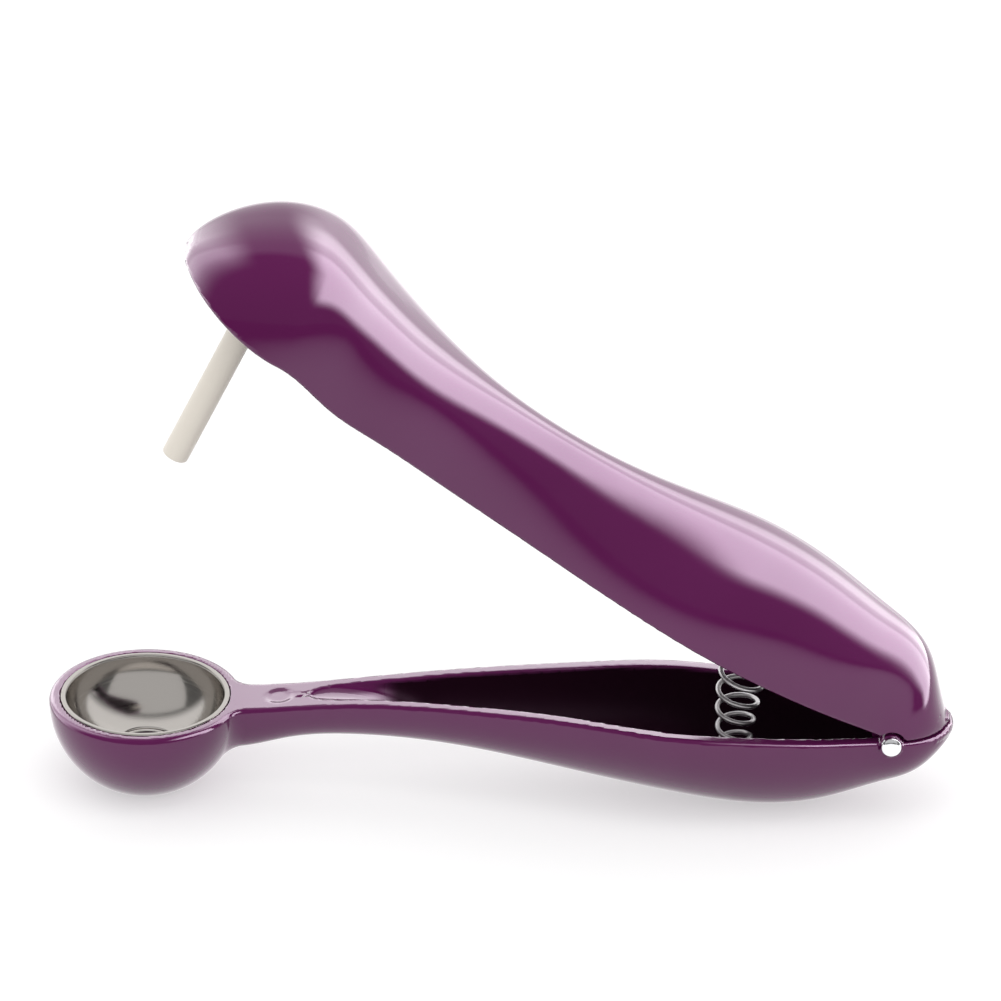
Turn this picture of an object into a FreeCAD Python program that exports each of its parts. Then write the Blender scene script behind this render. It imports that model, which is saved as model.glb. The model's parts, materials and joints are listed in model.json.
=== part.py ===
import FreeCAD, Part
import Sketcher
import math
import os
from FreeCAD import Placement, Rotation, Vector

# Olive pitter: two moulded arms on a riveted hinge pin, a pressed steel bowl in the cup of the
# lower arm, a punch in the upper arm and a coil spring that holds the arms open.
#
# Millimetres.  +X runs from the cup to the hinge, +Y across the tool, +Z up.  The origin is the
# centre of the bounding box on the surface that the tool stands on.  Stations along an arm are
# counted from the pin towards the cup, so the heel behind the pin has negative stations.
# The upper arm is drawn closed, flat on the parting plane, and then turned open about the pin.

DOC = FreeCAD.newDocument("olive_pitter")
SHEET = DOC.addObject("Spreadsheet::Sheet", "Sizes")

GENERAL = {
    "hinge_to_cup": (140.0, "pin axis to the centre of the cup"),
    "heel_length": (11.8, "lower arm behind the pin"),
    "rest_height": (17.3, "rim of the cup above the table"),
    "wall": (2.8, "thickness of the moulded arms"),
    "seat_gap": (0.15, "gap where a separate piece sits in a moulding"),
    "parting_gap": (0.3, "gap between the two arms where they meet"),
    "open_angle": (29.1, "upper arm above its drawn position, degrees"),
    "close_travel": (25.0, "turn from open to closed, degrees"),
    "cup_outer_radius": (18.1, "moulded cup, outside"),
    "cup_outer_depth": (19.5, "moulded cup, outside, before its base is cut flat"),
    "cup_edge_round": (1.0, "rounded outer edge of the cup"),
    "cup_hole_radius": (6.4, "stone outlet in the moulded cup"),
    "liner_inner_radius": (14.9, "steel bowl, inside"),
    "liner_inner_depth": (11.5, "steel bowl, inside, before its outlet is cut"),
    "liner_wall": (0.8, "steel bowl, sheet thickness"),
    "liner_lip_width": (0.6, "flange of the steel bowl beyond its wall"),
    "liner_lip_height": (0.25, "flange of the steel bowl above the moulded rim"),
    "stone_hole_radius": (5.8, "stone outlet in the steel bowl"),
    "groove_start": (31.0, "start of the groove in the neck, from the centre of the cup"),
    "groove_full": (52.0, "end of its slope, at the full depth of the arm, from the centre of the cup"),
    "groove_shallow": (1.0, "depth of the groove at its start"),
    "recess_place": (25.3, "round recess in the top of the neck, from the centre of the cup"),
    "recess_radius": (3.0, "round recess in the top of the neck"),
    "recess_depth": (0.5, "that recess, below the parting plane"),
    "pin_drop": (0.5, "pin axis below the parting plane"),
    "pin_radius": (1.25, "hinge pin shank"),
    "pin_fit": (0.05, "radial clearance of the shank in its bores"),
    "pin_head_radius": (1.95, "domed head of the hinge pin"),
    "pin_head_height": (1.1, "domed head of the hinge pin"),
    "boss_radius": (2.2, "pin boss on each wall of the lower arm"),
    "notch_gap": (0.5, "clearance of the upper arm around that boss"),
    "ear_radius": (3.5, "hinge ears of the upper arm"),
    "ear_thickness": (2.0, "hinge ears of the upper arm"),
    "ear_gap": (1.6, "hinge ears inside the walls of the lower arm"),
    "lip_height": (0.4, "lip at the heel, above the parting plane"),
    "lip_thickness": (1.2, "lip at the heel"),
    "lip_reach": (3.2, "length over which the lip rises"),
    "punch_radius": (2.5, "punch rod"),
    "punch_offset": (2.9, "punch axis beyond the centre of the cup, at the parting plane"),
    "punch_lean": (3.2, "punch off square, its root away from the pin, degrees"),
    "punch_tip_depth": (21.2, "punch tip below the parting plane, drawn position"),
    "punch_chamfer": (0.3, "edge of the punch tip"),
    "socket_wall": (1.9, "plastic around the punch root"),
    "socket_bottom": (19.0, "socket mouth above the parting plane, drawn position"),
    "socket_depth": (8.0, "punch root held in the socket"),
    "wire_radius": (0.5, "spring wire"),
    "coil_radius": (3.75, "spring, to the centre of the wire"),
    "coil_turns": (10.5, "turns of the spring"),
    "lower_spring_station": (29.2, "spring seat of the lower arm from the pin"),
    "upper_spring_station": (31.0, "spring seat of the upper arm from the pin"),
    "lower_seat": (11.5, "lower spring seat below the parting plane"),
    "upper_seat": (15.5, "upper spring seat above the parting plane, drawn position"),
    "peg_height": (3.0, "peg that centres each end of the spring"),
    "peg_gap": (1.0, "gap between peg and spring wire"),
    "pad_margin": (0.9, "seat pad beyond the spring"),
}

# Places of the two outlines whose stations are counted back from the centre of the cup.
NEAR_CUP = ("neck", "collar", "cup", "shoulder", "brow", "hood")

# Outline of the lower arm: station, half width, rim above the parting plane, depth below it.
LOWER_OUTLINE = {
    "pin": (0.0, 10.0, 0.0, 11.6),
    "palm": (12.0, 12.6, 0.75, 15.7),
    "belly": (25.0, 14.6, 1.6, 17.0),
    "grip": (40.0, 15.5, 2.5, 14.8),
    "middle": (60.0, 12.1, 3.3, 11.3),
    "waist": (80.0, 8.7, 3.15, 7.7),
    "neck": (40.0, 5.8, 2.05, 6.5),
    "collar": (27.0, 5.2, 0.7, 7.8),
    "cup": (16.0, 5.4, 0.0, 10.2),
}
LOWER_ENDS = {
    "heel_depth": (2.0, "lower arm below the parting plane at the end of its heel"),
}

# Outline of the upper arm: station, half width, lift of its edge over the closed lower rim,
# crown above the parting plane.
UPPER_OUTLINE = {
    "pin": (0.0, 9.9, 0.0, 14.6),
    "palm": (12.0, 12.6, 0.0, 19.1),
    "belly": (25.0, 14.8, 0.0, 21.5),
    "grip": (40.0, 15.3, 0.0, 22.4),
    "middle": (60.0, 11.9, 0.5, 20.5),
    "waist": (80.0, 9.0, 3.1, 20.0),
    "neck": (40.0, 11.2, 9.2, 22.3),
    "shoulder": (25.0, 15.0, 15.5, 26.2),
    "brow": (14.0, 17.2, 18.8, 30.4),
    "hood": (2.0, 19.3, 22.7, 34.1),
}
UPPER_ENDS = {
    "tail_length": (9.0, "upper arm behind the pin, drawn position"),
    "tail_crown": (5.2, "top of the upper arm at the end of its tail"),
    "nose_reach": (20.3, "nose of the hood beyond the centre of the cup"),
    "nose_edge": (16.9, "edge of the hood at its nose, above the parting plane"),
    "nose_crown": (18.0, "top of the hood at its nose"),
}

# Share of a quarter section's width and height at which its Bezier handles lie: a true
# ellipse has 0.552, and the moulded arms are a little squarer.
SECTION_FULLNESS = 0.62
CUP_FULLNESS = 0.55

# Share of a hollow's depth that is straight below the edges of its arm.
STRAIGHT_SHARE = 0.2

# Powers that shape the ends of the two arms: how late the heel, the tail and the hood turn down.
HEEL_POWER = 1.7
TAIL_POWER = 1.05
NOSE_EDGE_POWER = 1.6
NOSE_CROWN_POWER = 1.6

# Sections at a round end: how many, and how far towards its tip the last one lies.
END_SECTIONS = 5
END_REACH = 0.985

# Lengths by which cutting shapes run past the faces that they cut.
PAST_FACE = 5.0
PAST_ARM = 60.0

PIN_AXIS = Rotation(Vector(1, 0, 0), -90)


def fill_sheet():
    rows = dict(GENERAL)
    for arm, outline, heights in (("lower", LOWER_OUTLINE, ("rim", "depth")),
                                  ("upper", UPPER_OUTLINE, ("lift", "crown"))):
        for place, (station, half_width, first, second) in outline.items():
            origin = "cup" if place in NEAR_CUP else "pin"
            rows[f"{arm}_{place}_from_{origin}"] = (station, f"{arm} arm, {place}: from the {origin}")
            rows[f"{arm}_{place}_half_width"] = (half_width, f"{arm} arm, {place}: half width")
            rows[f"{arm}_{place}_{heights[0]}"] = (first, f"{arm} arm, {place}: {heights[0]}")
            rows[f"{arm}_{place}_{heights[1]}"] = (second, f"{arm} arm, {place}: {heights[1]}")
    rows.update(LOWER_ENDS)
    rows.update(UPPER_ENDS)
    for row, (alias, (value, note)) in enumerate(rows.items(), start=1):
        SHEET.set(f"A{row}", note)
        SHEET.set(f"B{row}", str(value))
        SHEET.setAlias(f"B{row}", alias)
    DOC.recompute()


def size(alias):
    return float(getattr(SHEET, alias))


def smooth_curve(points, place):
    """Monotone cubic through the points: no overshoot between them, flat beyond the ends."""
    xs = [x for x, _ in points]
    ys = [y for _, y in points]
    if place <= xs[0]:
        return ys[0]
    if place >= xs[-1]:
        return ys[-1]
    widths = [b - a for a, b in zip(xs, xs[1:])]
    slopes = [(d - c) / w for c, d, w in zip(ys, ys[1:], widths)]
    tangents = [slopes[0]]
    for left, right, before, after in zip(slopes, slopes[1:], widths, widths[1:]):
        if left * right <= 0:
            tangents.append(0.0)
        else:
            heavy = 2 * after + before
            light = after + 2 * before
            tangents.append((heavy + light) / (heavy / left + light / right))
    tangents.append(slopes[-1])
    span = max(i for i, x in enumerate(xs[:-1]) if x <= place)
    width = widths[span]
    t = (place - xs[span]) / width
    return ((2 * t**3 - 3 * t**2 + 1) * ys[span] + (t**3 - 2 * t**2 + t) * width * tangents[span]
            + (3 * t**2 - 2 * t**3) * ys[span + 1] + (t**3 - t**2) * width * tangents[span + 1])


def from_cup(distance):
    """Station of what lies a distance back from the centre of the cup."""
    return size("hinge_to_cup") - distance


def place_station(arm, place):
    if place in NEAR_CUP:
        return from_cup(size(f"{arm}_{place}_from_cup"))
    return size(f"{arm}_{place}_from_pin")


def outline_value(arm, outline, quantity, station):
    points = [(place_station(arm, place), size(f"{arm}_{place}_{quantity}")) for place in outline]
    return smooth_curve(points, station)


def round_end(share):
    """Half width of a round end, as a share of its full width."""
    return math.sqrt(max(0.0, 1.0 - share * share))


# ---------------------------------------------------------------- places in the row frame
HINGE_X = "((Sizes.hinge_to_cup + Sizes.cup_outer_radius - Sizes.heel_length) / 2)"
PIN_Z = "(Sizes.rest_height - Sizes.pin_drop)"


def hinge_x():
    return (size("hinge_to_cup") + size("cup_outer_radius") - size("heel_length")) / 2


def at_station(station):
    return hinge_x() - station


def parting_z():
    return size("rest_height")


def pin_z():
    return parting_z() - size("pin_drop")


def open_placement(position, rotation):
    """Placement of a piece of the upper arm, turned from its drawn place to the open one."""
    turn = Rotation(Vector(0, 1, 0), size("open_angle"))
    pivot = Vector(hinge_x(), 0, pin_z())
    return Placement(pivot + turn.multVec(position - pivot), turn.multiply(rotation))


# ---------------------------------------------------------------- sections of the two arms
def section(station, half_width, edge, keel, beyond=0.0):
    """Closed section across an arm: a round back under its two edges.

    The edges are joined by a straight line, or by a box that runs beyond them."""
    x = at_station(station)
    base = parting_z()
    turn = edge + STRAIGHT_SHARE * (keel - edge) if beyond else edge
    handle = turn + SECTION_FULLNESS * (keel - turn)
    near = Vector(x, -half_width, base + turn)
    far = Vector(x, half_width, base + turn)
    middle = Vector(x, 0, base + keel)
    first = Part.BezierCurve()
    first.setPoles([far, Vector(x, half_width, base + handle),
                    Vector(x, SECTION_FULLNESS * half_width, base + keel), middle])
    second = Part.BezierCurve()
    second.setPoles([middle, Vector(x, -SECTION_FULLNESS * half_width, base + keel),
                     Vector(x, -half_width, base + handle), near])
    if not beyond:
        return Part.Wire([Part.makeLine(near, far), first.toShape(), second.toShape()])
    near_end = near + Vector(0, 0, edge + beyond - turn)
    far_end = far + Vector(0, 0, edge + beyond - turn)
    return Part.Wire([Part.makeLine(near, near_end), Part.makeLine(near_end, far_end),
                      Part.makeLine(far_end, far), first.toShape(), second.toShape()])


def end_stations(length):
    """Stations that crowd towards a round end, the outermost first."""
    reach = length * END_REACH
    return [reach * math.sin(math.pi / 2 * k / END_SECTIONS) for k in range(END_SECTIONS, 0, -1)]


def body_stations(outline, arm):
    """Stations of an outline, with one more half way along each stretch."""
    places = [place_station(arm, place) for place in outline]
    middles = [(a + b) / 2 for a, b in zip(places, places[1:])]
    return sorted(places + middles)


def lower_rim(station):
    return outline_value("lower", LOWER_OUTLINE, "rim", station)


def lower_shape(station, inset):
    """Half width and keel of the lower arm, inset by a wall."""
    share = max(0.0, -station / (size("heel_length") - inset))
    half_width = outline_value("lower", LOWER_OUTLINE, "half_width", station) - inset
    depth = outline_value("lower", LOWER_OUTLINE, "depth", station)
    depth = size("heel_depth") + (depth - size("heel_depth")) * (1 - share**HEEL_POWER)
    return half_width * round_end(share), -(depth - inset)


def lower_body():
    stations = [-s for s in end_stations(size("heel_length"))] + body_stations(LOWER_OUTLINE, "lower")
    sections = []
    for station in stations:
        half_width, keel = lower_shape(station, 0.0)
        sections.append(section(station, half_width, lower_rim(station), keel))
    return Part.makeLoft(sections, True)


def lower_trough():
    """Hollow of the lower arm: full depth in the palm, a shallow groove in the neck."""
    wall = size("wall")
    start = from_cup(size("groove_start"))
    full = from_cup(size("groove_full"))
    heel_ends = [-s for s in end_stations(size("heel_length") - wall)]
    along = [s for s in body_stations(LOWER_OUTLINE, "lower") if s < full]
    ramp = [start + (full - start) * k / END_SECTIONS for k in range(END_SECTIONS, -1, -1)]
    sections = []
    for station in heel_ends + along + ramp:
        half_width, keel = lower_shape(station, wall)
        rim = lower_rim(station)
        rise = max(0.0, (station - full) / (start - full))
        floor = keel + (rim - size("groove_shallow") - keel) * rise
        floor = min(floor, rim - size("groove_shallow"))
        sections.append(section(station, half_width, rim, floor, size("rest_height")))
    return Part.makeLoft(sections, True)


def residual_angle():
    """Angle left between the arms' drawn place and the place where they really close."""
    return math.radians(size("open_angle") - size("close_travel"))


def upper_edge(station):
    """Lower edge of the upper arm: along the lower rim when closed, along the heel when open."""
    gap = size("parting_gap")
    drop = size("pin_drop")
    if station < 0:
        angle = math.radians(size("open_angle"))
        return -drop + (gap + drop - station * math.sin(angle)) / math.cos(angle)
    lift = outline_value("upper", UPPER_OUTLINE, "lift", station)
    return lower_rim(station) + gap - station * math.tan(residual_angle()) + lift


def upper_crown(station):
    if station < 0:
        share = -station / size("tail_length")
        rise = size("upper_pin_crown") - size("tail_crown")
        return size("tail_crown") + rise * (1 - share**TAIL_POWER)
    return outline_value("upper", UPPER_OUTLINE, "crown", station)


def nose_station():
    return size("hinge_to_cup") + size("nose_reach")


def upper_shape(station, inset):
    """Half width, edge and crown of the upper arm, inset by a wall."""
    hood = place_station("upper", "hood")
    half_width = outline_value("upper", UPPER_OUTLINE, "half_width", station) - inset
    edge = upper_edge(min(station, hood))
    crown = upper_crown(min(station, hood))
    if station < 0:
        half_width *= round_end(-station / (size("tail_length") - inset))
    if station > hood:
        share = (station - hood) / (nose_station() - inset - hood)
        half_width *= round_end(share)
        edge += (size("nose_edge") - edge) * share**NOSE_EDGE_POWER
        crown = size("nose_crown") + (crown - size("nose_crown")) * round_end(share)**NOSE_CROWN_POWER
    thinnest = size("nose_crown") - size("nose_edge")
    return half_width, edge, max(crown - inset, edge + thinnest)


def upper_loft(inset, beyond):
    hood = place_station("upper", "hood")
    tail = size("tail_length") - inset
    nose = nose_station() - inset
    stations = [-s for s in end_stations(tail)] + body_stations(UPPER_OUTLINE, "upper")
    stations += [hood + s for s in reversed(end_stations(nose - hood))]
    sections = []
    for station in stations:
        half_width, edge, crown = upper_shape(station, inset)
        sections.append(section(station, half_width, edge, crown, beyond))
    return Part.makeLoft(sections, True)


def upper_body():
    return upper_loft(0.0, 0.0)


def upper_hollow():
    return upper_loft(size("wall"), -size("rest_height"))


# ---------------------------------------------------------------- plain solids in the row frame
def across(radius, half_length, x, z):
    """Cylinder that lies across the tool, about its middle plane."""
    return Part.makeCylinder(radius, 2 * half_length, Vector(x, -half_length, z), Vector(0, 1, 0))


def upright(radius, height, x, z):
    return Part.makeCylinder(radius, height, Vector(x, 0, z))


def block(length, half_width, height, x, z):
    """Box centred on x and on the middle plane, its floor at z."""
    return Part.makeBox(length, 2 * half_width, height, Vector(x - length / 2, -half_width, z))


def feature(label, shape, placement):
    part = DOC.addObject("Part::Feature", label)
    part.Label = label
    part.Shape = shape
    part.Placement = placement
    return part


# ---------------------------------------------------------------- lower arm
def cup_x():
    return at_station(size("hinge_to_cup"))


def liner_hollow_radius():
    return size("liner_inner_radius") + size("liner_wall") + size("seat_gap")


def cup_shell():
    """Moulded cup, turned about its own axis: a rounded rim over a half ellipsoid."""
    radius = size("cup_outer_radius")
    rounding = size("cup_edge_round")
    depth = size("cup_outer_depth")
    top = parting_z()
    centre = Vector(cup_x(), 0, top)
    rim_start = Vector(cup_x() + radius - rounding, 0, top)
    widest = Vector(cup_x() + radius, 0, top - rounding)
    on_round = Vector(cup_x() + radius - rounding * (1 - math.sqrt(0.5)), 0,
                      top - rounding * (1 - math.sqrt(0.5)))
    bottom = Vector(cup_x(), 0, top - depth)
    side = Part.BezierCurve()
    side.setPoles([
        widest,
        widest - Vector(0, 0, CUP_FULLNESS * (depth - rounding)),
        bottom + Vector(CUP_FULLNESS * radius, 0, 0),
        bottom,
    ])
    profile = Part.Wire([
        Part.makeLine(centre, rim_start),
        Part.Arc(rim_start, on_round, widest).toShape(),
        side.toShape(),
        Part.makeLine(bottom, centre),
    ])
    return Part.Face(profile).revolve(centre, Vector(0, 0, 1), 360)


def cup_hollow():
    """Seat of the steel bowl, the step for its flange and the stone outlet below it."""
    radius = liner_hollow_radius()
    step_depth = size("liner_wall") - size("liner_lip_height") + size("seat_gap")
    bowl = Part.makeSphere(radius, Vector(cup_x(), 0, parting_z()))
    step = upright(radius + size("liner_lip_width"), step_depth + PAST_FACE,
                   cup_x(), parting_z() - step_depth)
    outlet = upright(size("cup_hole_radius"), parting_z() + PAST_FACE, cup_x(), -PAST_FACE)
    return bowl.fuse(step).fuse(outlet)


def neck_recess():
    """Shallow round recess in the top of the neck, near the cup."""
    floor = parting_z() - size("recess_depth")
    return upright(size("recess_radius"), PAST_FACE, at_station(from_cup(size("recess_place"))), floor)


def heel_lip():
    """Crescent at the end of the heel that rises behind the upper arm."""
    top = parting_z() + size("lip_height")
    low = parting_z() - size("heel_depth") / 2
    reach = size("heel_length")
    half_width = size("lower_pin_half_width")
    thin = size("lip_thickness")

    def oval(long_radius, short_radius):
        curve = Part.Ellipse(Vector(hinge_x(), 0, low), long_radius, short_radius)
        return Part.Face(Part.Wire(curve.toShape())).extrude(Vector(0, 0, top - low))

    ring = oval(reach, half_width).cut(oval(reach - thin, half_width - thin))
    end = hinge_x() + reach
    start = end - size("lip_reach")
    side = Part.makePolygon([
        Vector(start, -half_width, low),
        Vector(end + PAST_FACE, -half_width, low),
        Vector(end + PAST_FACE, -half_width, top),
        Vector(end, -half_width, top),
        Vector(start, -half_width, parting_z()),
        Vector(start, -half_width, low),
    ])
    return ring.common(Part.Face(side).extrude(Vector(0, 2 * half_width, 0)))


def pin_bosses():
    """Short bosses that carry the pin in the two walls of the lower arm."""
    half_width = size("lower_pin_half_width")
    between = half_width - size("wall")
    reach = 2 * size("boss_radius")
    bosses = across(size("boss_radius"), half_width, hinge_x(), pin_z())
    return bosses.cut(block(2 * reach, between, 2 * reach, hinge_x(), pin_z() - reach))


def pin_end_seats():
    """Flat seats in the outside of the two walls for the ends of the pin."""
    half_width = size("lower_pin_half_width")
    reach = 2 * size("boss_radius")
    seats = across(size("boss_radius"), half_width + PAST_FACE, hinge_x(), pin_z())
    return seats.cut(block(2 * reach, half_width, 2 * reach, hinge_x(), pin_z() - reach))


def pin_bore():
    half_length = size("lower_pin_half_width") + PAST_FACE
    return across(size("pin_radius") + size("pin_fit"), half_length, hinge_x(), pin_z())


def spring_pad_radius():
    return size("coil_radius") + size("wire_radius") + size("pad_margin")


def peg_radius():
    return size("coil_radius") - size("wire_radius") - size("peg_gap")


def lower_spring_seat():
    """Pad and peg on the floor of the lower arm, upright."""
    x = at_station(size("lower_spring_station"))
    seat_z = parting_z() - size("lower_seat")
    pad = upright(spring_pad_radius(), seat_z, x, 0)
    return pad.fuse(upright(peg_radius(), size("peg_height"), x, seat_z))


def hollowed(body, hollow, standing):
    """Body with a hollow in which some solids are left standing."""
    for solid in standing:
        hollow = hollow.cut(solid)
    shell = body.cut(hollow)
    if body.Volume - shell.Volume < shell.Volume / 2:
        raise RuntimeError("the hollow of an arm has not been cut")
    return shell


def lower_handle():
    shell = hollowed(lower_body(), lower_trough(), [lower_spring_seat()])
    shell = shell.fuse(pin_bosses()).fuse(heel_lip())
    shell = shell.fuse(cup_shell()).cut(cup_hollow()).cut(neck_recess())
    shell = shell.cut(pin_bore()).cut(pin_end_seats())
    table = block(2 * (size("hinge_to_cup") + PAST_ARM), PAST_ARM, PAST_ARM, 0, -PAST_ARM)
    return feature("lower_handle", shell.cut(table), Placement())


# ---------------------------------------------------------------- upper arm
def upper_spring_seat():
    """Pad and peg under the roof of the upper arm, square to the arm."""
    x = at_station(size("upper_spring_station"))
    seat_z = parting_z() + size("upper_seat")
    pad = upright(spring_pad_radius(), PAST_ARM, x, seat_z)
    return pad.fuse(upright(peg_radius(), size("peg_height"), x, seat_z - size("peg_height")))


def ear_outside():
    return size("lower_pin_half_width") - size("wall") - size("ear_gap")


def hinge_ears(height):
    """Two round-ended plates inside the lower arm's walls that carry the upper arm on the pin."""
    radius = size("ear_radius")
    thickness = size("ear_thickness")
    rise = Vector(0, 0, height)
    ears = []
    for y in (-ear_outside(), ear_outside() - thickness):
        pin = Vector(hinge_x(), y, pin_z())
        left = pin - Vector(radius, 0, 0)
        right = pin + Vector(radius, 0, 0)
        strip = Part.Wire([
            Part.Arc(left, pin - Vector(0, 0, radius), right).toShape(),
            Part.makeLine(right, right + rise),
            Part.makeLine(right + rise, left + rise),
            Part.makeLine(left + rise, left),
        ])
        ears.append(Part.Face(strip).extrude(Vector(0, thickness, 0)))
    return ears


def pin_notch():
    """Clearance in the two walls of the upper arm around the bosses of the lower arm."""
    radius = size("boss_radius") + size("notch_gap")
    notch = across(radius, size("lower_pin_half_width") + PAST_FACE, hinge_x(), pin_z())
    return notch.cut(block(4 * radius, ear_outside(), 4 * radius, hinge_x(), pin_z() - 2 * radius))


def lean_of_punch():
    return Rotation(Vector(0, 1, 0), -size("punch_lean"))


def on_punch_axis(height):
    """Point of the punch's axis at a height above the parting plane, drawn position."""
    station = size("hinge_to_cup") + size("punch_offset")
    station += height * math.tan(math.radians(size("punch_lean")))
    return Vector(at_station(station), 0, parting_z() + height)


def along_punch(radius, length, height):
    axis = lean_of_punch().multVec(Vector(0, 0, 1))
    return Part.makeCylinder(radius, length, on_punch_axis(height), axis)


def punch_socket():
    """Tube under the crown of the hood that holds the root of the punch."""
    return along_punch(size("punch_radius") + size("socket_wall"), PAST_ARM, size("socket_bottom"))


def upper_handle():
    standing = hinge_ears(PAST_ARM) + [upper_spring_seat(), punch_socket()]
    shell = hollowed(upper_body(), upper_hollow(), standing).cut(pin_notch())
    for ear_end in hinge_ears(size("wall")):
        shell = shell.fuse(ear_end)
    shell = shell.cut(pin_bore())
    shell = shell.cut(along_punch(size("punch_radius"), size("socket_depth"), size("socket_bottom")))
    return feature("upper_handle", shell, open_placement(Vector(0, 0, 0), Rotation()))


# ---------------------------------------------------------------- turned, drawn and wound pieces
def origin_plane(body, role):
    return next(item for item in body.Origin.OriginFeatures if item.Role == role)


def new_body(label):
    body = DOC.addObject("PartDesign::Body", label)
    body.Label = label
    return body


def bind(item, expressions):
    for path, expression in expressions.items():
        item.setExpression(path, expression)


def round_bar(body, name, radius, length):
    """Pad of one circle about the origin, its radius and length bound to the sheet."""
    sketch = body.newObject("Sketcher::SketchObject", name + "Section")
    sketch.AttachmentSupport = [(origin_plane(body, "XY_Plane"), "")]
    sketch.MapMode = "FlatFace"
    sketch.addGeometry(Part.Circle(Vector(0, 0, 0), Vector(0, 0, 1), 1.0), False)
    sketch.addConstraint(Sketcher.Constraint("Coincident", 0, 3, -1, 1))
    sketch.addConstraint(Sketcher.Constraint("Radius", 0, 1.0))
    sketch.setExpression("Constraints[1]", radius)
    bar = body.newObject("PartDesign::Pad", name)
    bar.Profile = sketch
    bar.setExpression("Length", length)
    return bar


def primitive(body, kind, name, expressions):
    bind(body.newObject(f"PartDesign::{kind}", name), expressions)


def half_ellipsoid(body, kind, name, radius, height, low, high):
    """Ellipsoid about the body's Z axis, between two angles of latitude."""
    primitive(body, kind, name, {
        "Radius1": height,
        "Radius2": radius,
        "Radius3": radius,
        "Angle1": low,
        "Angle2": high,
    })


def cup_liner():
    """Pressed steel bowl with a flange that sits on the step of the moulded cup."""
    body = new_body("cup_liner")
    outside = "Sizes.liner_inner_radius + Sizes.liner_wall"
    drop = "2 * Sizes.liner_inner_radius"
    deep = "Sizes.liner_inner_depth + Sizes.liner_wall"
    half_ellipsoid(body, "AdditiveEllipsoid", "BowlOutside", outside, deep, "-90", "0")
    primitive(body, "AdditiveCylinder", "Flange", {
        "Radius": outside + " + Sizes.liner_lip_width",
        "Height": "Sizes.liner_wall",
        "Placement.Base.z": "Sizes.liner_lip_height - Sizes.liner_wall",
    })
    half_ellipsoid(body, "SubtractiveEllipsoid", "BowlInside", "Sizes.liner_inner_radius",
                   "Sizes.liner_inner_depth", "-90", "90")
    primitive(body, "SubtractiveCylinder", "StoneHole", {
        "Radius": "Sizes.stone_hole_radius",
        "Height": drop,
        "Placement.Base.z": "-" + drop,
    })
    bind(body, {"Placement.Base.x": HINGE_X + " - Sizes.hinge_to_cup",
                "Placement.Base.z": "Sizes.rest_height"})
    return body


def punch():
    """Straight rod, drawn with its tip at the origin of its body."""
    body = new_body("punch")
    reach = "(Sizes.punch_tip_depth + Sizes.socket_bottom) / cos(Sizes.punch_lean * 1deg)"
    rod = round_bar(body, "Rod", "Sizes.punch_radius", reach + " + Sizes.socket_depth")
    DOC.recompute()
    tip = body.newObject("PartDesign::Chamfer", "TipEdge")
    tip.Base = (rod, [f"Edge{edge_at(rod.Shape, 0.0)}"])
    tip.setExpression("Size", "Sizes.punch_chamfer")
    body.Placement = open_placement(on_punch_axis(-size("punch_tip_depth")), lean_of_punch())
    return body


def edge_at(shape, height):
    """Number of the circular edge that lies at a height."""
    for number, edge in enumerate(shape.Edges, start=1):
        box = edge.BoundBox
        if abs(box.ZMin - height) < Part.Precision.approximation() and box.ZLength < box.XLength / 2:
            return number
    raise RuntimeError(f"no edge at height {height}")


def dome(body, name, low, high):
    """Domed head on the end of a shank along the body's Z axis."""
    half_ellipsoid(body, "AdditiveEllipsoid", name, "Sizes.pin_head_radius", "Sizes.pin_head_height",
                   low, high)


def hinge_pin():
    """Rivet across the tool: its domed head is on the near side."""
    body = new_body("hinge_pin")
    length = "2 * Sizes.lower_pin_half_width + Sizes.pin_head_height / 2"
    round_bar(body, "Shank", "Sizes.pin_radius", length)
    dome(body, "Head", "-90", "0")
    body.Placement = Placement(Vector(0, 0, 0), PIN_AXIS)
    bind(body, {"Placement.Base.x": HINGE_X,
                "Placement.Base.y": "-Sizes.lower_pin_half_width",
                "Placement.Base.z": PIN_Z})
    return body


def pin_cap():
    """Domed cap pressed on the far end of the hinge pin."""
    body = new_body("pin_cap")
    dome(body, "Dome", "0", "90")
    primitive(body, "SubtractiveCylinder", "Socket",
              {"Radius": "Sizes.pin_radius", "Height": "Sizes.pin_head_height / 2"})
    body.Placement = Placement(Vector(0, 0, 0), PIN_AXIS)
    bind(body, {"Placement.Base.x": HINGE_X,
                "Placement.Base.y": "Sizes.lower_pin_half_width",
                "Placement.Base.z": PIN_Z})
    return body


def return_spring():
    """Coil spring between the two seats, wound about the straight line between them."""
    bottom = Vector(at_station(size("lower_spring_station")), 0, parting_z() - size("lower_seat"))
    drawn_top = Vector(at_station(size("upper_spring_station")), 0, parting_z() + size("upper_seat"))
    top = open_placement(drawn_top, Rotation()).Base
    axis = top - bottom
    lean = axis.getAngle(Vector(0, 0, 1))
    lean = max(lean, math.radians(size("open_angle")) - lean)
    outside = size("coil_radius") + size("wire_radius")
    clear = size("seat_gap") + outside * math.sin(lean) + size("wire_radius")
    height = axis.Length - 2 * clear
    coil = Part.makeHelix(height / size("coil_turns"), height, size("coil_radius"))
    circle = Part.makeCircle(size("wire_radius"), Vector(size("coil_radius"), 0, 0), Vector(0, 1, 0))
    spring = Part.Wire(coil.Edges).makePipeShell([Part.Wire(circle)], True, True)
    start = bottom + axis.normalize() * clear
    return feature("return_spring", spring, Placement(start, Rotation(Vector(0, 0, 1), axis)))


# ---------------------------------------------------------------- build, check and write
def check():
    for item in DOC.Objects:
        if "Invalid" in item.State or "Error" in item.State:
            raise RuntimeError(f"{item.Label} has failed: {item.State}")


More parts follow.
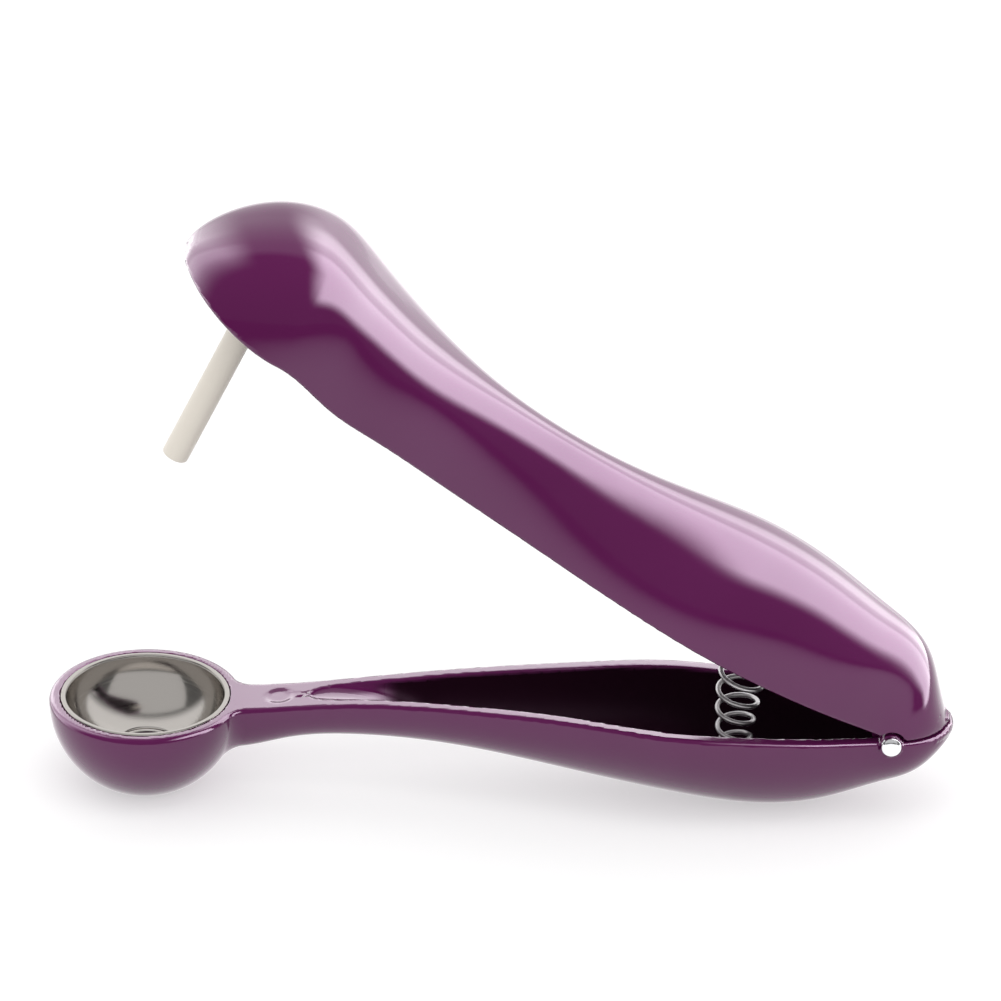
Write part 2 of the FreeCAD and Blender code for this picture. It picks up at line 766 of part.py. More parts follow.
def main():
    fill_sheet()
    parts = [lower_handle(), upper_handle(), cup_liner(), punch(), hinge_pin(), pin_cap(), return_spring()]
    DOC.recompute()
    check()
    for part in parts:
        if part.Shape.isNull() or not part.Shape.isValid():
            raise RuntimeError(f"{part.Label} has no valid shape")
    os.makedirs("parts", exist_ok=True)
    for part in parts:
        part.Shape.exportStep(f"parts/{part.Label}.step")
        box = part.Shape.optimalBoundingBox(False)
        print(f"{part.Label:14s} solids {len(part.Shape.Solids)} volume {part.Shape.Volume:9.1f} "
              f"x {box.XMin:7.2f} {box.XMax:7.2f} y {box.YMin:7.2f} {box.YMax:7.2f} "
              f"z {box.ZMin:7.2f} {box.ZMax:7.2f}")


main()
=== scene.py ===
import json
import math
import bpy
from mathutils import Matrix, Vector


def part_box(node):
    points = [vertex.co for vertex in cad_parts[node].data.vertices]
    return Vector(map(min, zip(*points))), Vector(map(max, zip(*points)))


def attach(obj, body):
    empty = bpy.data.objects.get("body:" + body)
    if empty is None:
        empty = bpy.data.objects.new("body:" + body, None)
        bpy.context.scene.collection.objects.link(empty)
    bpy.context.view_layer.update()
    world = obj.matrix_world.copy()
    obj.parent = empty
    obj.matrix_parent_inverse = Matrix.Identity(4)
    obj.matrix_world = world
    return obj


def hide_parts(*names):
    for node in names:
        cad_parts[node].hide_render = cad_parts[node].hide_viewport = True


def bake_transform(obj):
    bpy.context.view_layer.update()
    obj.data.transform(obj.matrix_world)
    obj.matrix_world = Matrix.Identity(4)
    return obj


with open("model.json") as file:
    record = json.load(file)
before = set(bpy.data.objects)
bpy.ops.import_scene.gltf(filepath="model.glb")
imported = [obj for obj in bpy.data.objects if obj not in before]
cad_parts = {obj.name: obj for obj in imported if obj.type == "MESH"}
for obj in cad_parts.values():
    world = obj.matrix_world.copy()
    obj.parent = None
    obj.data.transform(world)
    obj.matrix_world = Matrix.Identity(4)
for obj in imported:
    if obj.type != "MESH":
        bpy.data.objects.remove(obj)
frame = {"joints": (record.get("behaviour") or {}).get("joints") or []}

from types import SimpleNamespace

import bmesh
import bpy
import numpy as np
from bpy.props import FloatProperty, FloatVectorProperty, IntProperty, PointerProperty
from bpy.types import Operator, Panel, PropertyGroup
from mathutils import Matrix, Vector

bl_info = {
    "name": "Olive Pitter Looks",
    "version": (1, 0, 0),
    "blender": (4, 5, 0),
    "location": "View3D > Sidebar > Pitter",
    "description": "Smooth mouldings, steel pieces, spring, finishes and stage for the olive pitter",
    "category": "Object",
}

MM = 0.001

# The mouldings are worked out in millimetres in the frame of their arm: the station runs from the
# pin towards the cup, y across the tool, and the height starts at the parting plane.
PARTING_HEIGHT = 17.3                 # of the parting plane above the ground
PIN_DROP = 0.5                        # pin axis below the parting plane
OPEN_ANGLE = math.radians(29.1)       # of the upper arm at rest
PUNCH_LEAN = math.radians(3.2)        # of the punch in the closed drawing
PUNCH_STATION = 142.9                 # of the punch axis at the parting plane
LOWER_SEAT = (29.2, -11.5)            # station and height of the lower end of the spring
UPPER_SEAT = (31.0, 15.5)             # the same of its upper end, in the closed drawing

# Each curve is a list of (station, value).
LOWER_HALF_WIDTH = [(0.0, 10.0), (12.0, 12.6), (25.0, 14.6), (40.0, 15.5), (60.0, 12.1), (80.0, 8.7),
                    (100.0, 5.8), (113.0, 5.2), (124.0, 5.4)]
LOWER_RIM = [(0.0, 0.0), (12.0, 0.75), (25.0, 1.6), (40.0, 2.5), (60.0, 3.3), (80.0, 3.15),
             (100.0, 2.05), (113.0, 0.7), (124.0, 0.0)]
LOWER_DEPTH = [(-11.75, 2.0), (-5.9, 8.65), (0.0, 11.6), (12.0, 15.7), (25.0, 17.0), (40.0, 14.8),
               (60.0, 11.3), (80.0, 7.7), (100.0, 6.5), (113.0, 7.8), (124.0, 10.2)]
UPPER_HALF_WIDTH = [(0.0, 9.9), (12.0, 12.6), (25.0, 14.8), (40.0, 15.3), (60.0, 11.9), (80.0, 9.0),
                    (100.0, 11.2), (115.0, 15.0), (126.0, 17.2), (138.0, 19.2)]
UPPER_LIFT = [(0.0, 0.0), (40.0, 0.0), (60.0, 0.5), (80.0, 3.1), (100.0, 8.9), (115.0, 14.8),
              (126.0, 18.5), (138.0, 22.7)]
UPPER_CROWN = [(-9.0, 5.2), (-4.5, 10.0), (0.0, 14.6), (12.0, 19.1), (25.0, 21.5), (40.0, 22.4),
               (60.0, 20.5), (80.0, 20.0), (100.0, 22.3), (115.0, 26.2), (126.0, 30.4), (138.0, 34.0)]
PIN_HALF_WIDTH = LOWER_HALF_WIDTH[0][1]
LOWER_TOP = 3.4                       # just over the highest point of the lower rim


# ---------------------------------------------------------------- settings
def number(name, description, default, least=0.0, **extra):
    return FloatProperty(name=name, description=description, default=default, min=least, **extra)


def length(name, description, default_mm):
    return number(name, description, default_mm * MM, unit="LENGTH")


def whole(name, description, default, least):
    return IntProperty(name=name, description=description, default=default, min=least)


def triple(name, description, default, **extra):
    return FloatVectorProperty(name=name, description=description, default=default, size=3, **extra)


def tint(name, description, default):
    return triple(name, description, default, subtype="COLOR", min=0.0, max=1.0)


class PitterArms(PropertyGroup):
    wall: length("Wall", "Thickness of the mouldings", 2.8)
    rim_round: length("Rim rounding", "Radius of the edges of the two rims", 0.7)
    blend: length("Blend", "Radius where the neck runs into the cup", 2.2)
    small_round: length("Small rounding", "Radius of the small inner edges", 0.3)
    heel: length("Heel", "Lower arm behind the pin", 11.68)
    lip_height: length("Lip height", "Crescent at the heel, above the parting plane", 0.35)
    lip_thickness: length("Lip thickness", "Crescent at the heel", 1.2)
    lip_length: length("Lip length", "Crescent along the arm, from the end of the heel", 3.2)
    tail: length("Tail", "Upper arm behind the pin", 9.0)
    nose: length("Nose", "Pin axis to the nose of the hood", 160.2)
    nose_edge: length("Nose edge", "Edge of the hood at its nose", 16.9)
    nose_crown: length("Nose crown", "Top of the hood at its nose", 18.0)
    cup_radius: length("Cup radius", "Moulded cup, outside", 18.05)
    cup_wall: length("Cup wall", "Moulded cup, round the steel bowl", 2.25)
    cup_depth: length("Cup depth", "Moulded cup before its base is cut flat", 19.5)
    cup_edge: length("Cup edge", "Rounded outer edge of the cup", 1.0)
    cup_outlet: length("Cup outlet", "Stone outlet of the moulded cup", 6.4)
    groove_start: length("Groove start", "Station where the groove in the neck begins", 109.0)
    groove_full: length("Groove full", "Station where the groove reaches its full depth", 88.0)
    groove_shallow: length("Groove depth", "Depth of the groove at its start", 0.6)
    recess_station: length("Recess station", "Round recess in the neck, from the pin", 114.7)
    recess_depth: length("Recess depth", "Round recess in the neck", 0.25)
    recess_radius: length("Recess radius", "Round recess in the neck, outside", 3.2)
    boss: length("Boss", "Radius of the pin bosses", 2.2)
    bore: length("Bore", "Radius of the pin bores", 1.3)
    notch: length("Notch", "Radius of the clearance round a boss", 2.7)
    ear: length("Ear", "Radius of the hinge ears", 3.5)
    ear_outside: length("Ear outside", "Outer face of an ear from the middle plane", 5.6)
    ear_thickness: length("Ear thickness", "Thickness of an ear", 2.0)
    socket: length("Socket", "Outer radius of the punch socket", 4.4)
    socket_bottom: length("Socket mouth", "Height of the socket mouth in the closed arm", 19.0)
    socket_floor: length("Socket floor", "Height of the root of the punch in the closed arm", 27.0)
    seat: length("Spring seat", "Radius of the pad under each end of the spring", 5.15)
    peg: length("Peg", "Radius of the peg inside each end of the spring", 2.25)
    peg_height: length("Peg height", "Height of the peg", 3.0)
    fullness: number("Fullness", "Exponent of the superellipse of a section", 2.22, 1.5)
    hood_fullness: number("Hood fullness", "Added to the fullness in the hood", 0.45)
    step: length("Step", "Spacing of the surface points of the mouldings", 0.58)


class PitterMetal(PropertyGroup):
    bowl_radius: length("Bowl radius", "Steel bowl, inside", 14.9)
    bowl_depth: length("Bowl depth", "Steel bowl, inside", 11.5)
    bowl_wall: length("Bowl sheet", "Thickness of the steel bowl", 0.8)
    bowl_flange: length("Flange", "Flange beyond the wall of the bowl", 0.2)
    bowl_lip: length("Flange height", "Flange above the rim of the cup", 0.15)
    bowl_hole: length("Stone outlet", "Hole in the steel bowl", 5.8)
    punch_radius: length("Punch radius", "Punch rod", 2.5)
    punch_edge: length("Punch edge", "Rounding of the tip of the punch", 0.35)
    pin_radius: length("Pin radius", "Shank of the rivet", 1.25)
    head_radius: length("Head radius", "Domed ends of the rivet", 1.95)
    head_height: length("Head height", "Domed ends of the rivet", 1.1)
    segments: whole("Segments", "Steps round a turned piece", 192, 24)


class PitterSpring(PropertyGroup):
    wire_radius: length("Wire", "Radius of the spring wire", 0.5)
    foot_radius: length("Foot radius", "Coil radius at the lower seat", 3.0)
    body_radius: length("Body radius", "Coil radius in the middle and at the upper seat", 4.15)
    lower_reach: length("Lower reach", "How far the axis keeps its way from the lower seat", 24.0)
    upper_reach: length("Upper reach", "How far the axis keeps its way from the upper seat", 13.0)
    turns: number("Turns", "Turns of the spring", 10.5, 1.0)
    points_per_turn: whole("Points", "Points of the wire in each turn", 40, 8)
    sides: whole("Sides", "Sides of the wire", 14, 6)


class PitterColors(PropertyGroup):
    plastic: tint("Plastic", "Mouldings as a whole", (0.112, 0.012, 0.080))
    plastic_light: tint("Plastic, light", "Lightest tone of the mouldings", (0.118, 0.013, 0.085))
    plastic_deep: tint("Plastic, deep", "Deepest tone of the mouldings", (0.106, 0.011, 0.075))
    # Painted shade: a near-black colour laid on the hollow inner faces of the mouldings, where shade falls.
    plastic_inside: tint("Plastic, inside", "Dull inner faces of the mouldings", (0.016, 0.003, 0.010))
    bowl: tint("Bowl", "Steel bowl", (0.56, 0.53, 0.50))
    punch: tint("Punch", "Punch rod", (0.88, 0.82, 0.73))
    rivet: tint("Rivet", "Both ends of the rivet", (0.80, 0.80, 0.82))
    spring: tint("Spring", "Spring wire", (0.72, 0.70, 0.71))


class PitterStage(PropertyGroup):
    eye: triple("Camera", "Place of the camera", (0.03250, -0.92375, 0.53865), unit="LENGTH")
    target: triple("Target", "Point in the middle of the view", (-0.000515, 0.0, 0.06051), unit="LENGTH")
    roll: FloatProperty(name="Roll", description="Turn of the camera about its axis", subtype="ANGLE",
                        default=math.radians(0.843))
    lens: number("Lens", "Focal length on a 36 mm sensor, in millimetres", 203.16, 10.0)
    ground: number("Ground", "White of the ground under the light", 0.60)
    ground_glow: number("Ground glow", "White added to the ground for the camera and in gloss", 0.48)
    sky: number("Sky", "Strength of the even light from all round", 1.0)
    room: number("Room", "Brightness of the white room that shines in the metal", 1.05)
    tent: number("Tent", "Brightness of the tent that shines in the mouldings", 12.5)
    back: number("Back", "Brightness of the panel behind, in the lower moulding", 3.6)
    front: number("Front", "Brightness of the panel in front, in the metal", 0.5)
    key: number("Key", "Power of the lamp overhead, in watts", 0.9)


def in_mm(group):
    """Settings of a group as plain numbers, with its lengths in millimetres."""
    values = {}
    for name, kind in group.bl_rna.properties.items():
        if name not in ("rna_type", "name"):
            values[name] = getattr(group, name) / (MM if kind.unit == "LENGTH" else 1)
    return SimpleNamespace(**values)


# ---------------------------------------------------------------- smooth curves and solid fields
def smooth_curve(points, level_start=True):
    """Cubic spline through the points, level at its end and, if asked, at its start; flat beyond."""
    stations, values = np.array(points).T
    count = len(stations)
    gaps = np.diff(stations)
    slopes = np.diff(values) / gaps
    system = np.zeros((count, count))
    right = np.zeros(count)
    system[0, 0] = 1.0
    if level_start:
        system[0, :2] = 2 * gaps[0], gaps[0]
        right[0] = 6 * slopes[0]
    system[-1, -2:] = gaps[-1], 2 * gaps[-1]
    right[-1] = -6 * slopes[-1]
    for i in range(1, count - 1):
        system[i, i - 1:i + 2] = gaps[i - 1], 2 * (gaps[i - 1] + gaps[i]), gaps[i]
        right[i] = 6 * (slopes[i] - slopes[i - 1])
    bends = np.linalg.solve(system, right)

    def value(station):
        station = np.clip(station, stations[0], stations[-1])
        i = np.clip(np.searchsorted(stations, station) - 1, 0, count - 2)
        gap = gaps[i]
        left = stations[i + 1] - station
        past = station - stations[i]
        return ((bends[i] * left**3 + bends[i + 1] * past**3) / (6 * gap)
                + (values[i] / gap - bends[i] * gap / 6) * left
                + (values[i + 1] / gap - bends[i + 1] * gap / 6) * past)

    return value


INNER_ROUND = 0.8                     # inner edge of a rim, as a share of its outer edge


def round_end(share, hollow):
    """Width of a round end as a share of its full width. A hollow ends bluntly, which keeps the
    distances round its end long enough for the edges near it."""
    least = 0.05 if hollow else 1e-4
    return np.sqrt(np.maximum(least, 1.0 - share**2))


def both(a, b, radius):
    """Where two solids overlap, with the edge between them rounded."""
    corner = np.hypot(np.maximum(a + radius, 0.0), np.maximum(b + radius, 0.0))
    return np.minimum(np.maximum(a, b), -radius) + corner


def either(a, b, radius):
    """Two solids joined, with a fillet in the corner between them."""
    return -both(-a, -b, radius)


def higher(a, b, ease):
    """The higher of two heights, with the change from one to the other eased."""
    return np.maximum(a, b) + np.maximum(ease - np.abs(a - b), 0.0)**2 / (4 * ease)


def by_distance(level, s, y, z, reach=0.05):
    """A level function turned into a distance near its surface."""
    value = level(s, y, z)
    ds = level(s + reach, y, z) - level(s - reach, y, z)
    dy = level(s, y + reach, z) - level(s, y - reach, z)
    dz = level(s, y, z + reach) - level(s, y, z - reach)
    return value * 2 * reach / np.maximum(np.sqrt(ds**2 + dy**2 + dz**2), 1e-6)


def section_level(y, half_width, rise, fullness):
    """Superellipse: rise is 0 at the level of the edges and 1 at the back of the section."""
    return (np.abs(y / half_width)**fullness + np.maximum(rise, 0.0)**fullness)**(1 / fullness) - 1


def ramp(value, start, end):
    """0 before the start and 1 beyond the end, eased between them; the end may be the lower one."""
    share = np.clip((value - start) / (end - start), 0.0, 1.0)
    return share * share * (3 - 2 * share)


def painted_shade_share(from_edge, outside):
    """Share of the painted shade on the hollow inner faces, from the way past the edge and the distance to
    the outer skin.
    """
    edge_band = (0.35, 0.7)
    skin_band = (-0.8, -1.2)
    return ramp(from_edge, *edge_band) * ramp(outside, *skin_band)


def punch_station(height):
    return PUNCH_STATION + height * math.tan(PUNCH_LEAN)


def spring_seat(arms, place, s, y, z):
    """Pad with a peg on it, standing into the hollow of the arm from the height of its place."""
    station, height = place
    past = z - height if height < 0 else height - z
    from_axis = np.hypot(s - station, y)
    pad = both(from_axis - arms.seat, past, arms.small_round)
    peg = both(from_axis - arms.peg, past - arms.peg_height, arms.small_round)
    return either(pad, peg, arms.small_round)


def lower_field(arms, hinge_to_cup):
    """Distance to the lower moulding, and the share of the painted shade on its inner faces."""
    half_width_at = smooth_curve(LOWER_HALF_WIDTH)
    rim_at = smooth_curve(LOWER_RIM)
    depth_at = smooth_curve(LOWER_DEPTH, level_start=False)
    small = arms.small_round
    start = arms.groove_start
    full = arms.groove_full
    groove_power = 2.2
    trough_end = 6.0
    # Painted shade in the trough fades in from just past the middle of the groove, towards the pin.
    painted_shade_from = (start + full) / 2 - 0.5
    painted_shade_blend = 6.0
    bowl_gap = 0.2
    bowl_seat = 0.7
    lip_foot = 1.0
    least_depth = 0.5

    def shape(s, inset):
        share = np.maximum(0.0, -s / (arms.heel - inset))
        width = (half_width_at(s) - inset) * round_end(share, inset > 0)
        return width, -np.maximum(depth_at(s) - inset, least_depth), share

    def outside(s, y, z):
        width, keel, share = shape(s, 0.0)
        rim = rim_at(s)
        level = section_level(y, width, (rim - z) / (rim - keel), arms.fullness)
        return np.maximum(level, share - 1.0)

    def cup_side(s, y, z):
        across = np.hypot(s - hinge_to_cup, y) / arms.cup_radius
        down = np.maximum(0.0, -arms.cup_edge - z) / (arms.cup_depth - arms.cup_edge)
        return np.hypot(across, down) - 1

    def trough(s, y, z):
        width, keel, share = shape(s, arms.wall)
        rim = rim_at(s)
        rise = 1.0 - np.clip((start - s) / (start - full), 0.0, 1.0)**groove_power
        shallow = rim - arms.groove_shallow
        floor = np.minimum(keel + (shallow - keel) * rise, shallow)
        round_start = np.maximum(0.0, (s - (start - trough_end)) / trough_end)
        width = width * round_end(round_start, True)
        level = section_level(y, width, (rim - z) / (rim - floor), arms.fullness)
        return np.maximum(level, np.maximum(share - 1.0, round_start - 1.0))

    def hollow_for_bowl(from_axis, z):
        radius = arms.cup_radius - arms.cup_wall
        hollow = np.sqrt(from_axis**2 + z**2) - radius
        return np.minimum(hollow, np.maximum(from_axis - radius - bowl_gap, -bowl_seat - z))

    def heel_lip(s, y, z):
        oval = by_distance(lambda a, b, c: np.hypot(a / arms.heel, b / PIN_HALF_WIDTH) - 1, s, y, z)
        ring = both(oval, -oval - arms.lip_thickness, small)
        from_end = -s - arms.heel + arms.lip_length
        slope = np.clip(from_end / arms.lip_length, 0.0, 1.0) * arms.lip_height
        return np.maximum(np.maximum(both(ring, z - slope, small), -lip_foot - z), -from_end)

    def field(s, y, z):
        neck = np.maximum(by_distance(outside, s, y, z), s - hinge_to_cup)
        solid = either(neck, by_distance(cup_side, s, y, z), arms.blend)
        rounding = arms.rim_round + (arms.cup_edge - arms.rim_round) * ramp(s, full, hinge_to_cup)
        from_recess = np.hypot(s - arms.recess_station, y)
        recess = arms.recess_depth * ramp(from_recess, arms.recess_radius, arms.recess_radius / 2)
        solid = both(solid, z - rim_at(s) + recess, rounding)
        solid = both(solid, -by_distance(trough, s, y, z), arms.rim_round * INNER_ROUND)
        seat = spring_seat(arms, LOWER_SEAT, s, y, z)
        seat = np.maximum(seat, by_distance(outside, s, y, z) + arms.wall / 2)
        solid = either(solid, seat, small)
        from_axis = np.hypot(s - hinge_to_cup, y)
        solid = both(solid, -hollow_for_bowl(from_axis, z), small / 2)
        solid = both(solid, arms.cup_outlet - from_axis, small)
        from_pin = np.hypot(s, z + PIN_DROP)
        boss = np.maximum(from_pin - arms.boss, PIN_HALF_WIDTH - arms.wall - np.abs(y))
        solid = either(solid, np.maximum(boss, np.abs(y) - PIN_HALF_WIDTH), small)
        head_seat = np.maximum(from_pin - arms.boss, PIN_HALF_WIDTH - np.abs(y))
        solid = np.maximum(np.maximum(solid, -head_seat), arms.bore - from_pin)
        solid = either(solid, heel_lip(s, y, z), small)
        return both(solid, -PARTING_HEIGHT - z, small)

    def inside(s, y, z):
        """Share of painted shade: in the trough, not on its rim or in the shallow groove."""
        in_trough = ramp(s, painted_shade_from, painted_shade_from - painted_shade_blend)
        return in_trough * painted_shade_share(rim_at(s) - z, by_distance(outside, s, y, z))

    return field, inside


def upper_field(arms, punch_radius, travel):
    """Distance to the upper moulding in its closed drawing, and the share of the painted shade on its inner
    faces.
    """
    half_width_at = smooth_curve(UPPER_HALF_WIDTH)
    lift_at = smooth_curve(UPPER_LIFT)
    crown_at = smooth_curve(UPPER_CROWN, level_start=False)
    rim_at = smooth_curve(LOWER_RIM)
    hood = UPPER_HALF_WIDTH[-1][0]
    small = arms.small_round
    rim_gap = 0.3
    ear_web = 1.0
    edge_ease = 1.0
    nose_power = 1.6
    fuller_from = 90.0
    fuller_full = 125.0
    lean = math.tan(OPEN_ANGLE - travel)

    def edge_at(s):
        near = np.minimum(s, hood)
        ahead = rim_at(near) + rim_gap - near * lean + lift_at(near)
        behind = (rim_gap + PIN_DROP - s * math.sin(OPEN_ANGLE)) / math.cos(OPEN_ANGLE) - PIN_DROP
        edge = higher(ahead, behind, edge_ease)
        share = np.clip((s - hood) / (arms.nose - hood), 0.0, 1.0)
        return edge + (arms.nose_edge - edge) * share**nose_power

    def outer_shape(s, inset):
        nose = arms.nose - inset
        share = np.maximum(0.0, np.maximum(-s / (arms.tail - inset), (s - hood) / (nose - hood)))
        width = (half_width_at(s) - inset) * round_end(share, inset > 0)
        ahead = np.clip((s - hood) / (arms.nose - hood), 0.0, 1.0)
        fall = np.sqrt(1 - ahead**2)**nose_power
        crown = arms.nose_crown + (crown_at(s) - arms.nose_crown) * fall
        edge = edge_at(s)
        crown = np.maximum(crown - inset, edge + arms.nose_crown - arms.nose_edge)
        return width, edge, crown, share

    def shell(inset, s, y, z):
        def level(s, y, z):
            width, edge, crown, share = outer_shape(s, inset)
            fullness = arms.fullness + arms.hood_fullness * ramp(s, fuller_from, fuller_full)
            section = section_level(y, width, (z - edge) / (crown - edge), fullness)
            return np.maximum(section, share - 1.0)
        return by_distance(level, s, y, z)

    def hinge_ears(within, from_pin, s, y, z):
        strip = np.where(z > -PIN_DROP, np.abs(s) - arms.ear, from_pin - arms.ear)
        ears = both(strip, np.abs(y) - arms.ear_outside, small)
        ears = both(ears, arms.ear_outside - arms.ear_thickness - np.abs(y), small)
        return np.where(z > ear_web, np.maximum(ears, within), ears)

    def field(s, y, z):
        outside = shell(0.0, s, y, z)
        within = outside + arms.wall / 2
        solid = both(outside, edge_at(s) - z, arms.rim_round)
        solid = both(solid, -shell(arms.wall, s, y, z), arms.rim_round * INNER_ROUND)
        from_pin = np.hypot(s, z + PIN_DROP)
        solid = either(solid, hinge_ears(within, from_pin, s, y, z), small)
        seat = spring_seat(arms, UPPER_SEAT, s, y, z)
        solid = either(solid, np.maximum(seat, within), small)
        from_punch = np.hypot(s - punch_station(z), y)
        socket = both(from_punch - arms.socket, arms.socket_bottom - z, small)
        solid = either(solid, np.maximum(socket, within), small)
        solid = np.maximum(solid, -np.maximum(from_punch - punch_radius, z - arms.socket_floor))
        notch = np.maximum(from_pin - arms.notch, arms.ear_outside - np.abs(y))
        solid = both(solid, -notch, small)
        return np.maximum(solid, arms.bore - from_pin)

    def inside(s, y, z):
        """Share of painted shade: within the shell, not on its edge."""
        return painted_shade_share(z - edge_at(s), shell(0.0, s, y, z))

    return field, inside


def along(axis, part):
    """Index that takes a part of one axis and all of the other two."""
    return tuple(part if k == axis else slice(None) for k in range(3))


def cells_round(index, axis, shift):
    """Cells beside the grid edges with that index, shifted across their axis."""
    cell = index.copy()
    cell[:, [k for k in range(3) if k != axis]] += shift
    return cell


def surface_net(field, low, high, step):
    """Closed mesh of quads on the zero surface of a field: one point in each cell that it crosses."""
    axes = [np.arange(a, b + step, step) for a, b in zip(low, high)]
    values = field(*np.meshgrid(*axes, indexing="ij"))
    within = values < 0
    cells = tuple(n - 1 for n in values.shape)
    total = np.zeros(cells + (3,))
    number_in = np.zeros(cells)
    crossings = []
    for axis in range(3):
        start = along(axis, slice(0, -1))
        end = along(axis, slice(1, None))
        crossed = within[start] != within[end]
        index = np.argwhere(crossed)
        a = values[start][crossed]
        b = values[end][crossed]
        point = np.array(low) + index * step
        point[:, axis] += step * a / (a - b)
        for shift in ((0, 0), (-1, 0), (0, -1), (-1, -1)):
            cell = cells_round(index, axis, shift)
            kept = ((cell >= 0) & (cell < cells)).all(axis=1)
            np.add.at(total, tuple(cell[kept].T), point[kept])
            np.add.at(number_in, tuple(cell[kept].T), 1)
        crossings.append((axis, index, within[start][crossed]))
    used = number_in > 0
    point_in = np.full(cells, -1)
    point_in[used] = np.arange(used.sum())
    points = total[used] / number_in[used][:, None]
    faces = []
    for axis, index, rising in crossings:
        ring = ((-1, -1), (0, -1), (0, 0), (-1, 0))
        quads = np.stack([point_in[tuple(cells_round(index, axis, shift).T)] for shift in ring], axis=1)
        turned = rising if axis != 1 else ~rising
        faces.append(np.where(turned[:, None], quads, quads[:, ::-1]))
    return points, np.vstack(faces)


def settle(field, points, step, rounds=4, reach=0.06):
    """Points moved onto the zero surface, with the field's normals there."""
    for turn in range(rounds + 1):
        value = field(*points.T)
        slope = np.empty_like(points)
        for axis in range(3):
            ahead = points.copy()
            behind = points.copy()
            ahead[:, axis] += reach
            behind[:, axis] -= reach
            slope[:, axis] = (field(*ahead.T) - field(*behind.T)) / (2 * reach)
        steep = np.maximum(np.linalg.norm(slope, axis=1), 1e-6)[:, None]
        if turn < rounds:
            farthest = step / 3
            move = np.clip(value[:, None] / steep, -farthest, farthest)
            points = points - move * slope / steep
    return points, slope / steep


# ---------------------------------------------------------------- pieces
def hinge():
    """Place of the pin and the angle by which the arm closes, from the frame."""
    joint = frame["joints"][0]
    return Vector(joint["pos_m"]), math.radians(joint["range_deg"][1])


def cup_centre():
    low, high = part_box("cup_liner")
    middle = (low + high) / 2
    return Vector((middle.x, middle.y, PARTING_HEIGHT * MM))


def put(name, data):
    """New object in the scene."""
    thing = bpy.data.objects.new(name, data)
    bpy.context.scene.collection.objects.link(thing)
    return thing


def new_piece(name, points, faces, material, normals=None, inside=None):
    mesh = bpy.data.meshes.new(name)
    mesh.from_pydata([tuple(p) for p in points], [], [tuple(f) for f in faces])
    mesh.materials.append(material)
    mesh.shade_smooth()
    if normals is not None:
        mesh.normals_split_custom_set_from_vertices([tuple(n) for n in normals])
    # The share of painted shade in the hollows is kept on each point.
    if inside is not None:
        share = mesh.attributes.new(INSIDE, "FLOAT", "POINT")
        share.data.foreach_set("value", inside.astype(np.float32))
    return put(name, mesh)


def moulding(name, fields, low, high, step, angle):
    """Moulding on the zero surface of its field, turned by the angle about the pin."""
    field, inside = fields
    margin = 1.5
    step = step * 1.0
    points, faces = surface_net(field, np.array(low) - margin, np.array(high) + margin, step)
    points, normals = settle(field, points, step)
    pin, _ = hinge()
    turn = np.array(Matrix.Rotation(angle, 3, "Y")).T
    mirror = np.array((-1.0, 1.0, 1.0))
    placed = (points * mirror + (0.0, 0.0, PIN_DROP)) @ turn * MM + np.array(pin)
    placed[:, 2] = np.maximum(placed[:, 2], 0.0)
    return new_piece(name, placed, faces[:, ::-1], finish_for("moulded_plastic"),
                     (normals * mirror) @ turn, inside(*points.T))


def turned_piece(name, profile, place, material, segments):
    """Profile of (radius, height) turned about +Z and put in place. Radius 0 makes a pole."""
    poles = [radius <= 1e-9 for radius, _ in profile]
    points = []
    start = []
    for pole, (radius, height) in zip(poles, profile):
        start.append(len(points))
        for k in range(1 if pole else segments):
            angle = 2 * math.pi * k / segments
            points.append(place @ Vector((radius * math.cos(angle), radius * math.sin(angle), height)))
    pairs = list(zip(range(len(profile)), range(1, len(profile))))
    if not any(poles):
        pairs.append((len(profile) - 1, 0))
    faces = []
    for a, b in pairs:
        for k in range(segments):
            after = (k + 1) % segments
            first = [start[a]] if poles[a] else [start[a] + k, start[a] + after]
            second = [start[b]] if poles[b] else [start[b] + after, start[b] + k]
            faces.append(first + second)
    return new_piece(name, points, faces, material)


def arc(centre, radius, first, last, count):
    """Points of an arc in a profile, angles in degrees from the radial direction."""
    angles = np.radians(np.linspace(first, last, count))
    return [(centre[0] + radius * math.cos(a), centre[1] + radius * math.sin(a)) for a in angles]


# ---------------------------------------------------------------- finishes
FINISH_NAME = "finish_"
# Point attribute with the share of painted shade on the hollow inner faces of the mouldings.
INSIDE = "inside"
WHITE = (1.0, 1.0, 1.0, 1.0)


